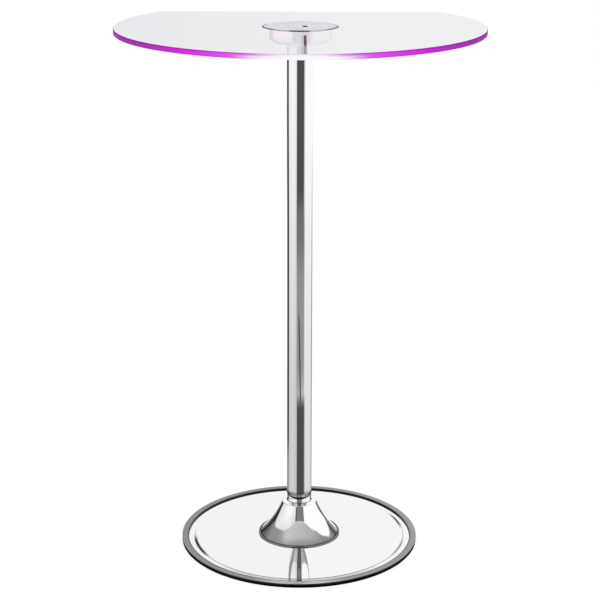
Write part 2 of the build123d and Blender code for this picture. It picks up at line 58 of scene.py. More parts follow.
def greys(stops):
    """Stops of (place, display tone) as stops of (place, grey)."""
    return [(place, grey(tone)) for place, tone in stops]


def shade(colour, share):
    """The same colour at a share of its brightness."""
    return tuple(share * part for part in colour[:3]) + (1.0,)


class Tree:
    """Short helper round a material's or world's node tree."""

    def __init__(self, owner):
        owner.use_nodes = True
        self.tree = owner.node_tree
        self.tree.nodes.clear()

    def node(self, kind, settings=None, **inputs):
        """A new node, with its settings and inputs; a blank in an input's name is written as _."""
        made = self.tree.nodes.new(kind)
        for name, value in (settings or {}).items():
            setattr(made, name, value)
        for name, value in inputs.items():
            self.put(made, name.replace("_", " "), value)
        return made

    def put(self, node, name, value):
        """Link a socket or a node's first output to an input, or set its plain value."""
        socket = node.inputs[int(name)] if name.isdigit() else node.inputs[name]
        if isinstance(value, bpy.types.NodeSocket):
            self.tree.links.new(value, socket)
        elif isinstance(value, bpy.types.Node):
            self.tree.links.new(value.outputs[0], socket)
        else:
            socket.default_value = value

    def in_order(self, made, values):
        """Fill a node's inputs in their order."""
        for index, value in enumerate(values):
            self.put(made, str(index), value)
        return made.outputs[0]

    def math(self, operation, *values):
        return self.in_order(self.node("ShaderNodeMath", {"operation": operation}), values)

    def vector(self, operation, *values):
        return self.in_order(self.node("ShaderNodeVectorMath", {"operation": operation}), values)

    def blend(self, factor, first, second):
        """Mix two shaders."""
        return self.in_order(self.node("ShaderNodeMixShader"), (factor, first, second))

    def mix(self, factor, first, second, blend="MIX"):
        """Mix two colours."""
        made = self.node("ShaderNodeMix", {"data_type": "RGBA", "blend_type": blend})
        for name, value in (("0", factor), ("6", first), ("7", second)):
            self.put(made, name, value)
        return made.outputs[2]

    def ramp(self, factor, stops):
        """Colour by factor, straight between stops of (place, colour)."""
        made = self.node("ShaderNodeValToRGB", Fac=factor)
        elements = made.color_ramp.elements
        while len(elements) < len(stops):
            elements.new(0.5)
        for element, (place, colour) in zip(elements, stops):
            element.position = place
            element.color = colour
        return made.outputs["Color"]

    def smooth(self, value, low, high):
        """0 below low, 1 above high, smooth between."""
        settings = {"interpolation_type": "SMOOTHSTEP"}
        made = self.node("ShaderNodeMapRange", settings, Value=value, From_Min=low, From_Max=high)
        return made.outputs["Result"]

    def spread(self, value, low, high):
        """A value from 0 to 1 spread from low to high."""
        return self.node("ShaderNodeMapRange", Value=value, To_Min=low, To_Max=high)

    def band(self, value, low, high, soft):
        """1 between low and high, 0 outside, with soft borders."""
        rise = self.smooth(value, self.math("SUBTRACT", low, soft), self.math("ADD", low, soft))
        fall = self.smooth(value, self.math("SUBTRACT", high, soft), self.math("ADD", high, soft))
        return self.math("SUBTRACT", rise, fall)

    def product(self, *values):
        made = values[0]
        for value in values[1:]:
            made = self.math("MULTIPLY", made, value)
        return made

    def flip(self, value):
        """1 less the value."""
        return self.math("SUBTRACT", 1.0, value)

    def polar(self, x, y):
        """Angle in degrees from the front, positive to the right, and distance from the axis."""
        turned = self.math("ARCTAN2", x, self.math("MULTIPLY", y, -1.0))
        squares = self.math("ADD", self.math("MULTIPLY", x, x), self.math("MULTIPLY", y, y))
        return self.math("MULTIPLY", turned, DEGREES), self.math("SQRT", squares)

    def parts(self, vector):
        """X, Y and Z of a vector."""
        made = self.node("ShaderNodeSeparateXYZ", Vector=vector)
        return [made.outputs[axis] for axis in "XYZ"]

    def by_angle(self, angle, stops):
        """Colour by angle from -180 to 180 degrees, straight between stops."""
        turn = self.math("DIVIDE", self.math("ADD", angle, 180.0), 360.0)
        return self.ramp(turn, [((place + 180) / 360, colour) for place, colour in stops])

    def lookup(self, angle, stops, low, high):
        """A value from low to high by angle, straight between stops."""
        shares = [(place, (value - low) / (high - low)) for place, value in stops]
        colour = self.by_angle(angle, [(place, (share, share, share, 1.0)) for place, share in shares])
        share = self.node("ShaderNodeSeparateColor", Color=colour).outputs[0]
        return self.math("MULTIPLY_ADD", share, high - low, low)

    def over(self, colour, tone, *shares):
        """A display grey laid over a colour, by the product of the shares."""
        return self.mix(self.product(*shares), colour, grey(tone))

    def noise(self, vector, scale, detail):
        made = self.node("ShaderNodeTexNoise", Vector=vector, Scale=scale, Detail=detail, Roughness=0.5)
        return made.outputs["Fac"]

    def bump(self, height, strength, distance):
        made = self.node("ShaderNodeBump", Height=height, Strength=strength, Distance=distance)
        return made.outputs["Normal"]

    def emission(self, colour, strength=1.0):
        return self.node("ShaderNodeEmission", Color=colour, Strength=strength)

    def clear(self):
        return self.node("ShaderNodeBsdfTransparent", Color=WHITE)

    def seen_directly(self, rays):
        """1 for rays that come from the eye, also through glass."""
        return self.math("MAXIMUM", rays.outputs["Is Camera Ray"], rays.outputs["Is Transmission Ray"])

    def output(self, surface, kind="ShaderNodeOutputMaterial"):
        self.node(kind, Surface=surface)


# Haze of polished plating: noise scale per metre, its tone, and the roughness from least to most
HAZE_SCALE, HAZE_DETAIL = 9.0, 4.0
HAZE_DARK = 0.97
CHROME_ROUGH = (0.012, 0.04)
# Finer haze that the column adds to its roughness
FINE_SCALE = 240.0
FINE_SHARE = 0.3
# Ripple of polished plating: noise scale per metre, strength and height of its relief
RIPPLE_SCALE = 14.0
RIPPLE_STRENGTH = 0.012
RIPPLE_HEIGHT = 0.001
# Fine grain of satin metal: noise scale per metre, its relief, and shares of the roughness
GRAIN_SCALE = 900.0
GRAIN_STRENGTH = 0.08
GRAIN_HEIGHT = 0.0002
GRAIN_SPREAD = (0.85, 1.15)


class Surface(Tree):
    """A new material's tree, with the object-space place of the shaded point."""

    def __init__(self, name):
        self.material = bpy.data.materials.new(name)
        super().__init__(self.material)
        self.place = self.node("ShaderNodeTexCoord").outputs["Object"]
        self.x, self.y, self.z = self.parts(self.place)

    def principled(self, **inputs):
        """Finish the material with a plain surface shader."""
        self.output(self.node("ShaderNodeBsdfPrincipled", **inputs))
        return self.material

    def polished(self, tint, rough, **inputs):
        """Finish the material as metal."""
        return self.principled(Base_Color=tint, Metallic=1.0, Roughness=rough, **inputs)

    def satin(self, tint, rough):
        """Finish the material as metal with a fine grain."""
        grain = self.noise(self.place, GRAIN_SCALE, 2.0)
        roughness = self.spread(grain, *(rough * share for share in GRAIN_SPREAD))
        return self.polished(tint, roughness, Normal=self.bump(grain, GRAIN_STRENGTH, GRAIN_HEIGHT))

    def ripple(self):
        """Barely visible ripple of polished plating."""
        return self.bump(self.noise(self.place, RIPPLE_SCALE, 1.0), RIPPLE_STRENGTH, RIPPLE_HEIGHT)


def chrome(name, colour):
    """Polished plating: faint polish haze and a barely visible ripple."""
    tree = Surface(name)
    haze = tree.noise(tree.place, HAZE_SCALE, HAZE_DETAIL)
    fine = tree.noise(tree.place, FINE_SCALE, 2.0)
    mixed = tree.math("ADD", tree.product(haze, 1.0 - FINE_SHARE), tree.product(fine, FINE_SHARE))
    tint = tree.mix(haze, colour, shade(colour, HAZE_DARK))
    return tree.polished(tint, tree.spread(mixed, *CHROME_ROUGH), Normal=tree.ripple())


def satin_metal(name, colour, rough):
    """Brushed or turned metal with a fine grain."""
    tree = Surface(name)
    cloud = tree.noise(tree.place, 20.0, 3.0)
    return tree.satin(tree.mix(cloud, colour, shade(colour, 0.88)), rough)


def moulded(name, colour, rough, grain=0.15, scale=700.0):
    """Moulded plastic, rubber or board: fine grain and a faint tone change."""
    tree = Surface(name)
    texture = tree.noise(tree.place, scale, 2.0)
    cloud = tree.noise(tree.place, 30.0, 2.0)
    tint = tree.mix(cloud, colour, shade(colour, 0.85))
    roughness = tree.spread(texture, rough * 0.85, min(1.0, rough * 1.1))
    fine = tree.bump(texture, grain, GRAIN_HEIGHT)
    return tree.principled(Base_Color=tint, Roughness=roughness, Normal=fine)


LENS_ROUGH = 0.2


def lens(name, colour, strength):
    """Lit LED lens with a faint tone change."""
    tree = Surface(name)
    tint = tree.mix(tree.noise(tree.place, 400.0, 1.0), colour, shade(colour, 1.1))
    return tree.principled(
        Base_Color=tint, Roughness=LENS_ROUGH, Emission_Color=tint, Emission_Strength=strength
    )


# Angles of the rim's glow, in degrees from the front, and its colours there
GLOW_STOPS = (
    (0.0, rgb(255, 253, 255)),
    (6.0, rgb(254, 246, 254)),
    (9.0, rgb(246, 216, 248)),
    (12.5, rgb(236, 168, 242)),
    (15.5, rgb(232, 132, 241)),
    (19.0, rgb(231, 98, 247)),
    (24.0, rgb(231, 72, 246)),
    (31.0, rgb(228, 50, 244)),
    (38.0, rgb(208, 46, 220)),
    (46.0, rgb(190, 48, 202)),
    (56.0, rgb(173, 50, 186)),
    (68.0, rgb(168, 60, 180)),
    (80.0, rgb(176, 80, 186)),
    (100.0, rgb(178, 84, 190)),
    (125.0, rgb(184, 60, 200)),
    (150.0, rgb(224, 66, 240)),
    (168.0, rgb(234, 120, 245)),
    (180.0, rgb(252, 214, 253)),
)
# Brightness of the rim from the lower sheet's underside, 0, to the upper sheet's face, 1
RIM_SHARES = (
    (0.0, 0.62), (0.10, 0.86), (0.45, 1.0), (0.58, 0.97), (0.82, 0.80), (0.93, 0.50), (1.0, 0.42),
)
# Near the front, by shares of a half turn, the brightness evens out and the lower half turns white
EVEN_TURN = (0.04, 0.11)
EVEN_SHARE = 0.55
LOW_WHITE_TURN = (0.055, 0.115)
LOW_WHITE_LEVEL = (0.35, 0.75)
LOW_WHITE_SHARE = 0.85
LOW_WHITE = (1.0, 0.97, 1.0, 1.0)
# Cloudy grind of the rim
GROUND_SCALE = 60.0
GROUND_TONE = (0.5, 0.05, 0.6, 1.0)
GROUND_SHARE = 0.08


def side_glow(tree, angle):
    """Light of the ground rim: white at the front, magenta to the sides, dimmer at the upper arris."""
    turn = tree.math("DIVIDE", tree.math("ABSOLUTE", angle), 180.0)
    glow = tree.ramp(turn, [(stop / 180.0, colour) for stop, colour in GLOW_STOPS])
    level = tree.math("DIVIDE", tree.math("SUBTRACT", tree.z, GLASS_UNDER), TABLE_TOP - GLASS_UNDER)
    height = tree.ramp(level, [(stop, (share, share, share, 1.0)) for stop, share in RIM_SHARES])
    front = tree.flip(tree.smooth(turn, *EVEN_TURN))
    evened = tree.mix(front, height, WHITE, "SCREEN")
    height = tree.mix(tree.product(front, EVEN_SHARE), height, evened)
    glow = tree.mix(1.0, glow, height, "MULTIPLY")
    low = tree.product(
        tree.flip(tree.smooth(level, *LOW_WHITE_LEVEL)),
        tree.flip(tree.smooth(turn, *LOW_WHITE_TURN)),
        LOW_WHITE_SHARE,
    )
    glow = tree.mix(low, glow, LOW_WHITE)
    ground = tree.noise(tree.place, GROUND_SCALE, 3.0)
    return tree.mix(tree.product(ground, GROUND_SHARE), glow, GROUND_TONE)


# How much the outer faces bend light, and the index, share and roughness of the upper sheet's gloss
GLASS_BEND = 1.5
GLOSS_BEND = 1.45
GLOSS_SHARE = 0.12
GLOSS_ROUGH = 0.02
# Upright part of a normal: above the first, the face is level; below the second, it is an edge
LEVEL = 0.5
EDGE = 0.9
# Share of the veil's painted glow seen on the inner side of the rim
INNER_VEIL_GLOW = 0.8
# Wall of the light unit's hole, which stays clear, lies within this reach
HOLE_REACH = 1.2 * PLATE_RADIUS
# Veil of light in the lower sheet: its colour by place across the glass, 0 at the left, 1 at the right
VEIL_STOPS = (
    (0.05, (0.772, 0.772, 0.806, 1.0)),
    (0.45, (0.813, 0.812, 0.832, 1.0)),
    (0.62, (0.835, 0.833, 0.858, 1.0)),
)
# Its share straight on, what a grazing look adds, and what it adds more from behind a face
VEIL_LEAST = 0.01
VEIL_GRAZING = 0.89
VEIL_BEHIND = 2.3
# Faint clouds in the veil: noise scale per metre, and their part of the share as (gain, least)
VEIL_CLOUD_SCALE = 3.0
VEIL_CLOUD = (0.04, 0.99)
# Painted pink glow, a bloom left of the light unit: angles (from, to, soft), and the reach over which
# it fades
BLOOM_GLOW_ANGLES = (-27.0, -8.0, 5.0)
BLOOM_GLOW_FADE = (1.4 * PLATE_RADIUS, 2.4 * PLATE_RADIUS)
BLOOM_GLOW_COLOUR = (0.99, 0.82, 0.96, 1.0)
BLOOM_GLOW_SHARE = 0.9
# Painted shade: a dark strip in the veil from the light unit to the front edge, to the right of the
# middle, and where it starts
SHADE_STRIP_PLACE = 0.0086
SHADE_STRIP_WIDTH = 0.0046
SHADE_STRIP_SIDES = (SHADE_STRIP_PLACE - 0.5 * SHADE_STRIP_WIDTH, SHADE_STRIP_PLACE + 0.5 * SHADE_STRIP_WIDTH, 0.0008)
SHADE_STRIP_START = (1.35 * PLATE_RADIUS, 1.85 * PLATE_RADIUS)
SHADE_STRIP_COLOUR = (0.070, 0.022, 0.055, 1.0)
# Reach over which the strip gets paler, and by how much
SHADE_STRIP_PALER = (0.22, 0.27)
SHADE_STRIP_PALER_SHARE = 0.45
# Faint edge of painted shade beside the strip, and a pink spot of painted glow at its start
SHADE_FRINGE_SIDES = (SHADE_STRIP_PLACE - 0.0072, SHADE_STRIP_PLACE + 0.0036, 0.0016)
SHADE_FRINGE_SHARE = 0.22
SPOT_GLOW_SIDES = (SHADE_STRIP_PLACE - 0.004, SHADE_STRIP_PLACE + 0.005, 0.004)
SPOT_GLOW_FADE = (1.3 * PLATE_RADIUS, 1.7 * PLATE_RADIUS)
SPOT_GLOW_COLOUR = (0.95, 0.64, 0.88, 1.0)
SPOT_GLOW_SHARE = 0.8


def veiled_face(tree, angle, reach, haze, up, behind, clear, bent):
    """Faces of the lower sheet: clear above; below, bent light, a veil and a pink glow painted as
    light, and a strip of painted shade.
    """
    ahead = tree.math("LESS_THAN", tree.y, 0.0)
    under = tree.math("LESS_THAN", up, -LEVEL)
    # Painted pink glow left of the light unit
    near = tree.flip(tree.smooth(reach, *BLOOM_GLOW_FADE))
    bloom_glow = tree.product(tree.band(angle, *BLOOM_GLOW_ANGLES), near, BLOOM_GLOW_SHARE)
    haze = tree.mix(bloom_glow, haze, BLOOM_GLOW_COLOUR)
    # Painted pink glow at the start of the dark strip
    near = tree.flip(tree.smooth(reach, *SPOT_GLOW_FADE))
    painted_light_spot = tree.product(tree.band(tree.x, *SPOT_GLOW_SIDES), ahead, near, SPOT_GLOW_SHARE)
    haze = tree.mix(painted_light_spot, haze, SPOT_GLOW_COLOUR)
    grazing = tree.node("ShaderNodeLayerWeight", Blend=0.5).outputs["Facing"]
    steep = tree.math("MULTIPLY_ADD", behind, VEIL_BEHIND, VEIL_GRAZING)
    share = tree.math("MULTIPLY_ADD", grazing, steep, VEIL_LEAST)
    cloud = tree.math("MULTIPLY_ADD", tree.noise(tree.place, VEIL_CLOUD_SCALE, 2.0), *VEIL_CLOUD)
    # Painted shade: a dark strip in the veil, with a faint edge, from the light unit to the front
    started = tree.smooth(reach, *SHADE_STRIP_START)
    strength = tree.math("MULTIPLY_ADD", tree.smooth(reach, *SHADE_STRIP_PALER), -SHADE_STRIP_PALER_SHARE, 1.0)
    shade_strip = tree.product(tree.band(tree.x, *SHADE_STRIP_SIDES), ahead, started, under, strength)
    shade_fringe = tree.product(tree.band(tree.x, *SHADE_FRINGE_SIDES), ahead, started, under, SHADE_FRINGE_SHARE)
    painted_shade = tree.emission(SHADE_STRIP_COLOUR)
    face = tree.blend(under, clear, bent)
    face = tree.blend(tree.product(share, cloud, under), face, tree.emission(haze))
    face = tree.blend(shade_fringe, face, painted_shade)
    return tree.blend(shade_strip, face, painted_shade)


def glossy_face(tree, up, behind, clear, bent):
    """Faces of the upper sheet: clear below; above, bent light and a faint gloss."""
    above = tree.math("GREATER_THAN", up, LEVEL)
    polish = tree.node("ShaderNodeBsdfGlossy", Color=WHITE, Roughness=GLOSS_ROUGH)
    fresnel = tree.node("ShaderNodeFresnel", IOR=GLOSS_BEND)
    shown = tree.product(fresnel.outputs[0], GLOSS_SHARE, tree.flip(behind), above)
    return tree.blend(shown, tree.blend(above, clear, bent), polish)


def glass(name, veiled):
    """Clear sheet with a glowing ground rim; veiled makes it the lower sheet, hazed from below."""
    tree = Surface(name)
    angle, reach = tree.polar(tree.x, tree.y)
    geometry = tree.node("ShaderNodeNewGeometry")
    behind = geometry.outputs["Backfacing"]
    _, _, facing = tree.parts(geometry.outputs["True Normal"])
    # The normal turns round on back faces, so it is turned back
    up = tree.math("MULTIPLY", facing, tree.math("MULTIPLY_ADD", behind, -2.0, 1.0))
    clear = tree.clear()
    rays = tree.node("ShaderNodeLightPath")
    bent = tree.node("ShaderNodeBsdfRefraction", Color=WHITE, Roughness=0.0, IOR=GLASS_BEND)
    bent = tree.blend(rays.outputs["Is Shadow Ray"], bent, clear)
    across = tree.math("DIVIDE", tree.math("ADD", tree.x, GLASS_RADIUS), 2 * GLASS_RADIUS)
    haze = tree.ramp(across, VEIL_STOPS)
    # Painted glow of the veil on the inner side of the rim
    inside = tree.blend(INNER_VEIL_GLOW, clear, tree.emission(haze))
    edge = tree.blend(behind, tree.emission(side_glow(tree, angle)), inside)
    edge = tree.blend(tree.math("LESS_THAN", reach, HOLE_REACH), edge, clear)
    if veiled:
        face = veiled_face(tree, angle, reach, haze, up, behind, clear, bent)
    else:
        face = glossy_face(tree, up, behind, clear, bent)
    upright = tree.math("LESS_THAN", tree.math("ABSOLUTE", up), EDGE)
    tree.output(tree.blend(upright, face, edge))
    return tree.material


# Place of the sensor's hole in the plate, to the right of its middle, and an oval of painted shade
# round it, in metres
SENSOR_SIDE = 0.009
HOLE_SHADE_RADIUS = 0.0050
HOLE_SHADE_SOFT = 0.0006
HOLE_SHADE_LENGTH = 2.2
# Painted shade on the plate's rolled front edge: a dark crescent that is darkest in its middle and at
# its ends
FRONT_SHADE_DEPTH = 0.0150
FRONT_SHADE_SOFT = 0.0010
FRONT_SHADE_MIDDLE = (-0.020, 0.016, 0.006)
FRONT_SHADE_MIDDLE_SHARE = 0.90
FRONT_SHADE_ENDS = (0.040, 0.056)
FRONT_SHADE_ENDS_SHARE = 0.55
FRONT_SHADE_WAVES_SCALE = 55.0
FRONT_SHADE_WAVES_SHARE = 0.50
PLATE_HAZE_SCALE = 40.0
PLATE_ROUGH = (0.02, 0.05)


def plated(name, colour, dark):
    """Bright plate whose cut edge is dark, with painted shade in an oval round its sensor's hole and on
    its rolled front.
    """
    tree = Surface(name)
    haze = tree.noise(tree.place, PLATE_HAZE_SCALE, HAZE_DETAIL)
    tint = tree.mix(haze, colour, shade(colour, 0.96))
    _, _, level = tree.parts(tree.node("ShaderNodeNewGeometry").outputs["True Normal"])
    wall = tree.math("LESS_THAN", tree.math("ABSOLUTE", level), LEVEL)
    tint = tree.mix(wall, tint, dark)
    # Painted shade: a dark oval round the sensor's hole, drawn longer front to back
    side = tree.math("SUBTRACT", tree.x, SENSOR_SIDE)
    _, apart = tree.polar(side, tree.math("DIVIDE", tree.y, HOLE_SHADE_LENGTH))
    hole_shade = tree.flip(tree.smooth(apart, HOLE_SHADE_RADIUS - HOLE_SHADE_SOFT, HOLE_SHADE_RADIUS + HOLE_SHADE_SOFT))
    tint = tree.mix(hole_shade, tint, dark)
    # Painted shade: a dark crescent along the front edge
    _, lean = tree.polar(tree.x, tree.math("SUBTRACT", tree.y, FRONT_SHADE_DEPTH))
    edge = tree.smooth(lean, PLATE_RADIUS - FRONT_SHADE_SOFT, PLATE_RADIUS + FRONT_SHADE_SOFT)
    middle = tree.product(tree.band(tree.x, *FRONT_SHADE_MIDDLE), FRONT_SHADE_MIDDLE_SHARE)
    ends = tree.product(tree.smooth(tree.math("ABSOLUTE", tree.x), *FRONT_SHADE_ENDS), FRONT_SHADE_ENDS_SHARE)
    shade_waves = tree.product(tree.noise(tree.place, FRONT_SHADE_WAVES_SCALE, 1.0), FRONT_SHADE_WAVES_SHARE)
    share = tree.math("ADD", tree.math("ADD", middle, ends), shade_waves)
    tint = tree.mix(tree.product(edge, share), tint, dark)
    return tree.polished(tint, tree.spread(haze, *PLATE_ROUGH))


# Crown of the base's bright disc, in metres and degrees: extra slope in front, steepest at the cover
CROWN_EDGE = 0.215
CROWN_SPAN = 0.130
CROWN_SLOPE = 0.2605
CROWN_POWER = 1.78
CROWN_FADE = (30.0, 70.0)
DISC_WAVE = 0.00002
# Step line of the disc, and how wide it shows: from, to and soft
STEP_RADIUS = 0.2118
STEP_NARROW = (STEP_RADIUS - 0.0023, STEP_RADIUS + 0.0023, 0.0012)
STEP_WIDE = (STEP_RADIUS - 0.0030, STEP_RADIUS + 0.0030, 0.0014)
# Arcs of painted reflection where the step is dark: its width, angles (from, to, soft), share and tone
STEP_REFLECTION_ARCS = (
    (STEP_NARROW, (62.0, 80.0, 5.0), 0.6, (0.25, 0.25, 0.255, 1.0)),
    (STEP_WIDE, (-84.0, -60.0, 5.0), 1.0, (0.03, 0.03, 0.031, 1.0)),
    (STEP_WIDE, (99.0, 115.0, 6.0), 1.0, (0.06, 0.06, 0.061, 1.0)),
)
# Painted reflection: the brim outside the step is greyer at the front
BRIM_REFLECTION_ANGLES = (-38.0, 38.0, 14.0)
BRIM_REFLECTION_SHARE = 0.6
BRIM_REFLECTION_TONE = (0.45, 0.45, 0.455, 1.0)
DISC_ROUGH = (0.01, 0.03)


def disc_mirror(name, colour):
    """Mirror-bright sheet, crowned a little towards the middle, with a step line near its rim, and
    painted reflections: dark on the step, greyer outside it in front.
    """
    tree = Surface(name)
    angle, reach = tree.polar(tree.x, tree.y)
    rise = tree.math("DIVIDE", tree.math("SUBTRACT", CROWN_EDGE, reach), CROWN_SPAN)
    rise = tree.math("POWER", tree.math("MAXIMUM", rise, 0.0), CROWN_POWER)
    front = tree.flip(tree.smooth(tree.math("ABSOLUTE", angle), *CROWN_FADE))
    slope = tree.product(rise, front, CROWN_SLOPE)
    lean = tree.node(
        "ShaderNodeCombineXYZ",
        X=tree.product(tree.math("DIVIDE", tree.x, reach), slope),
        Y=tree.product(tree.math("DIVIDE", tree.y, reach), slope),
    )
    haze = tree.noise(tree.place, HAZE_SCALE, HAZE_DETAIL)
    crown = tree.vector("NORMALIZE", tree.vector("ADD", tree.bump(haze, 1.0, DISC_WAVE), lean))
    tint = tree.mix(haze, colour, shade(colour, 0.985))
    # Painted reflection: the part outside the step is greyer at the front
    outside = tree.math("GREATER_THAN", reach, STEP_RADIUS)
    brim_reflection = tree.product(outside, tree.band(angle, *BRIM_REFLECTION_ANGLES), BRIM_REFLECTION_SHARE)
    tint = tree.mix(brim_reflection, tint, BRIM_REFLECTION_TONE)
    # Painted reflection: dark arcs on the step
    for width, angles, share, tone in STEP_REFLECTION_ARCS:
        reflection_arc = tree.product(tree.band(reach, *width), tree.band(angle, *angles), share)
        tint = tree.mix(reflection_arc, tint, tone)
    return tree.polished(tint, tree.spread(haze, *DISC_ROUGH), Normal=crown)


# Rim ring, in metres and degrees, all painted light and shade: a lighter right side, a dark low part at
# the front, a bright spot and a dark inner edge
# Painted light: the ring gets lighter towards the right over this span of x, by the gain below
RIM_LIGHT_SPAN = (-0.1, BASE_RADIUS)
RIM_LIGHT = 1.18
# Painted shade on the ring's low part at the front: angles, heights, share and tone
RIM_LOW_SHADE_ANGLES = (-72.0, 72.0, 14.0)
RIM_LOW_SHADE = (0.0030, 0.0078)
RIM_LOW_SHADE_SHARE = 0.85
RIM_LOW_SHADE_TONE = (0.030, 0.030, 0.031, 1.0)
# Painted highlight at its very front: angles, heights and tone
RIM_HIGHLIGHT = (-15.0, 16.0, 11.0)
RIM_HIGHLIGHT_HEIGHT = (0.0055, 0.0075)
RIM_HIGHLIGHT_TONE = (0.62, 0.62, 0.63, 1.0)
# Painted shade along its inner edge: reach and tone
RIM_INNER_SHADE = (RIM_INSIDE + 0.0010, RIM_INSIDE + 0.0030)
RIM_INNER_SHADE_TONE = (0.022, 0.022, 0.023, 1.0)


def rim_satin(name, colour, rough):
    """Satin ring, painted lighter to the right, with painted shade low down in front, a painted
    highlight at its very front and painted shade along its inner edge.
    """
    tree = Surface(name)
    angle, reach = tree.polar(tree.x, tree.y)
    cloud = tree.noise(tree.place, 12.0, 3.0)
    tint = tree.mix(cloud, colour, shade(colour, 0.92))
    tint = tree.mix(tree.smooth(tree.x, *RIM_LIGHT_SPAN), tint, shade(colour, RIM_LIGHT))
    low = tree.flip(tree.smooth(tree.z, *RIM_LOW_SHADE))
    low = tree.product(tree.band(angle, *RIM_LOW_SHADE_ANGLES), low, RIM_LOW_SHADE_SHARE)
    tint = tree.mix(low, tint, RIM_LOW_SHADE_TONE)
    painted_light_spot = tree.product(tree.band(angle, *RIM_HIGHLIGHT), tree.smooth(tree.z, *RIM_HIGHLIGHT_HEIGHT))
    tint = tree.mix(painted_light_spot, tint, RIM_HIGHLIGHT_TONE)
    tint = tree.mix(tree.flip(tree.smooth(reach, *RIM_INNER_SHADE)), tint, RIM_INNER_SHADE_TONE)
    return tree.satin(tint, rough)


# The foot cover's rolled lip lies in its own shade up to this height, in metres
LIP_TOP = 0.0132
LIP_SOFT = 0.0009
LIP_TONE = (0.25, 0.25, 0.255, 1.0)


def spun_cover(name, colour):
    """Spun foot cover: polished, with a dark lip against the disc."""
    tree = Surface(name)
    haze = tree.noise(tree.place, HAZE_SCALE, HAZE_DETAIL)
    tint = tree.mix(haze, colour, shade(colour, HAZE_DARK))
    lip = tree.flip(tree.smooth(tree.z, LIP_TOP - LIP_SOFT, LIP_TOP + LIP_SOFT))
    tint = tree.mix(lip, tint, LIP_TONE)
    return tree.polished(tint, tree.spread(haze, *CHROME_ROUGH), Normal=tree.ripple())


# Collar and light cup are shaded beyond these distances to the left and right, in metres
COLLAR_SIDE = 0.0222
CUP_SIDE = 0.0558
SIDE_SOFT = 0.0006


def sided_chrome(name, colour, side, tone):
    """Polished piece whose left and right sides are shaded, as by what stands round it."""
    tree = Surface(name)
    haze = tree.noise(tree.place, HAZE_SCALE, HAZE_DETAIL)
    tint = tree.mix(haze, colour, shade(colour, HAZE_DARK))
    shaded = tree.smooth(tree.math("ABSOLUTE", tree.x), side - SIDE_SOFT, side + SIDE_SOFT)
    tint = tree.mix(shaded, tint, tone)
    return tree.polished(tint, tree.spread(haze, *CHROME_ROUGH))


# Colour of polished plating
PLATING = (0.975, 0.975, 0.98, 1.0)


def make_materials():
    """Give each node of the frame its material."""
    dressed = (
        (glass("upper_sheet", False), ("upper_glass",)),
        (glass("lower_sheet", True), ("lower_glass",)),
        (plated("bright_plate", (0.745, 0.72, 0.775, 1.0), (0.012, 0.006, 0.010, 1.0)), ("top_plate",)),
        (chrome("polished_chrome", PLATING), ("column_tube",)),
        (sided_chrome("cup_chrome", PLATING, CUP_SIDE, grey(115)), ("light_cup",)),
        (spun_cover("spun_chrome", PLATING), ("cone_cover",)),
        (sided_chrome("foot_chrome", PLATING, COLLAR_SIDE, grey(48)), ("column_foot",)),
        (disc_mirror("mirror_chrome", (0.95, 0.95, 0.955, 1.0)), ("base_shell",)),
        (rim_satin("satin_steel", (0.27, 0.27, 0.275, 1.0), 0.32), ("rim_ring",)),
        (
            satin_metal("plain_steel", (0.45, 0.45, 0.46, 1.0), 0.35),
            ("plate_hub", "column_flange", "tray_pillars"),
        ),
        (
            satin_metal("screw_steel", (0.30, 0.30, 0.32, 1.0), 0.30),
            ("flange_screws", "tray_screws", "foot_bolts"),
        ),
        (satin_metal("spring_steel", (0.5, 0.5, 0.5, 1.0), 0.25), ("cup_clips",)),
        (satin_metal("contact_nickel", (0.6, 0.57, 0.5, 1.0), 0.3), ("battery_contacts",)),
        (satin_metal("cell_sleeve", (0.12, 0.14, 0.18, 1.0), 0.35), ("battery_cells",)),
        (moulded("board_white", (0.75, 0.75, 0.74, 1.0), 0.4, 0.05), ("led_board",)),
        (moulded("board_green", (0.02, 0.12, 0.05, 1.0), 0.4, 0.05), ("control_board",)),
        (moulded("chip_black", (0.012, 0.012, 0.014, 1.0), 0.45), ("control_chips", "button_switch")),
        (moulded("receiver_window", (0.02, 0.012, 0.02, 1.0), 0.12, 0.02), ("infrared_receiver",)),
        (moulded("tray_plastic", (0.02, 0.02, 0.022, 1.0), 0.5), ("battery_tray",)),
        (moulded("lead_jacket", (0.2, 0.006, 0.006, 1.0), 0.45), ("supply_lead", "led_lead")),
        (moulded("button_plastic", (0.02, 0.02, 0.022, 1.0), 0.2, 0.03), ("power_button",)),
        (moulded("ballast_iron", (0.03, 0.03, 0.032, 1.0), 0.7, 0.5, 250.0), ("base_weight",)),
        (moulded("pad_rubber", (0.015, 0.015, 0.015, 1.0), 0.8, 0.4), ("floor_pad",)),
        (lens("led_lens", (0.42, 0.30, 0.44, 1.0), 0.25), ("led_chips",)),
    )
    for material, names in dressed:
        for name in names:
            slots = NODES[name].data.materials
            slots.clear()
            slots.append(material)


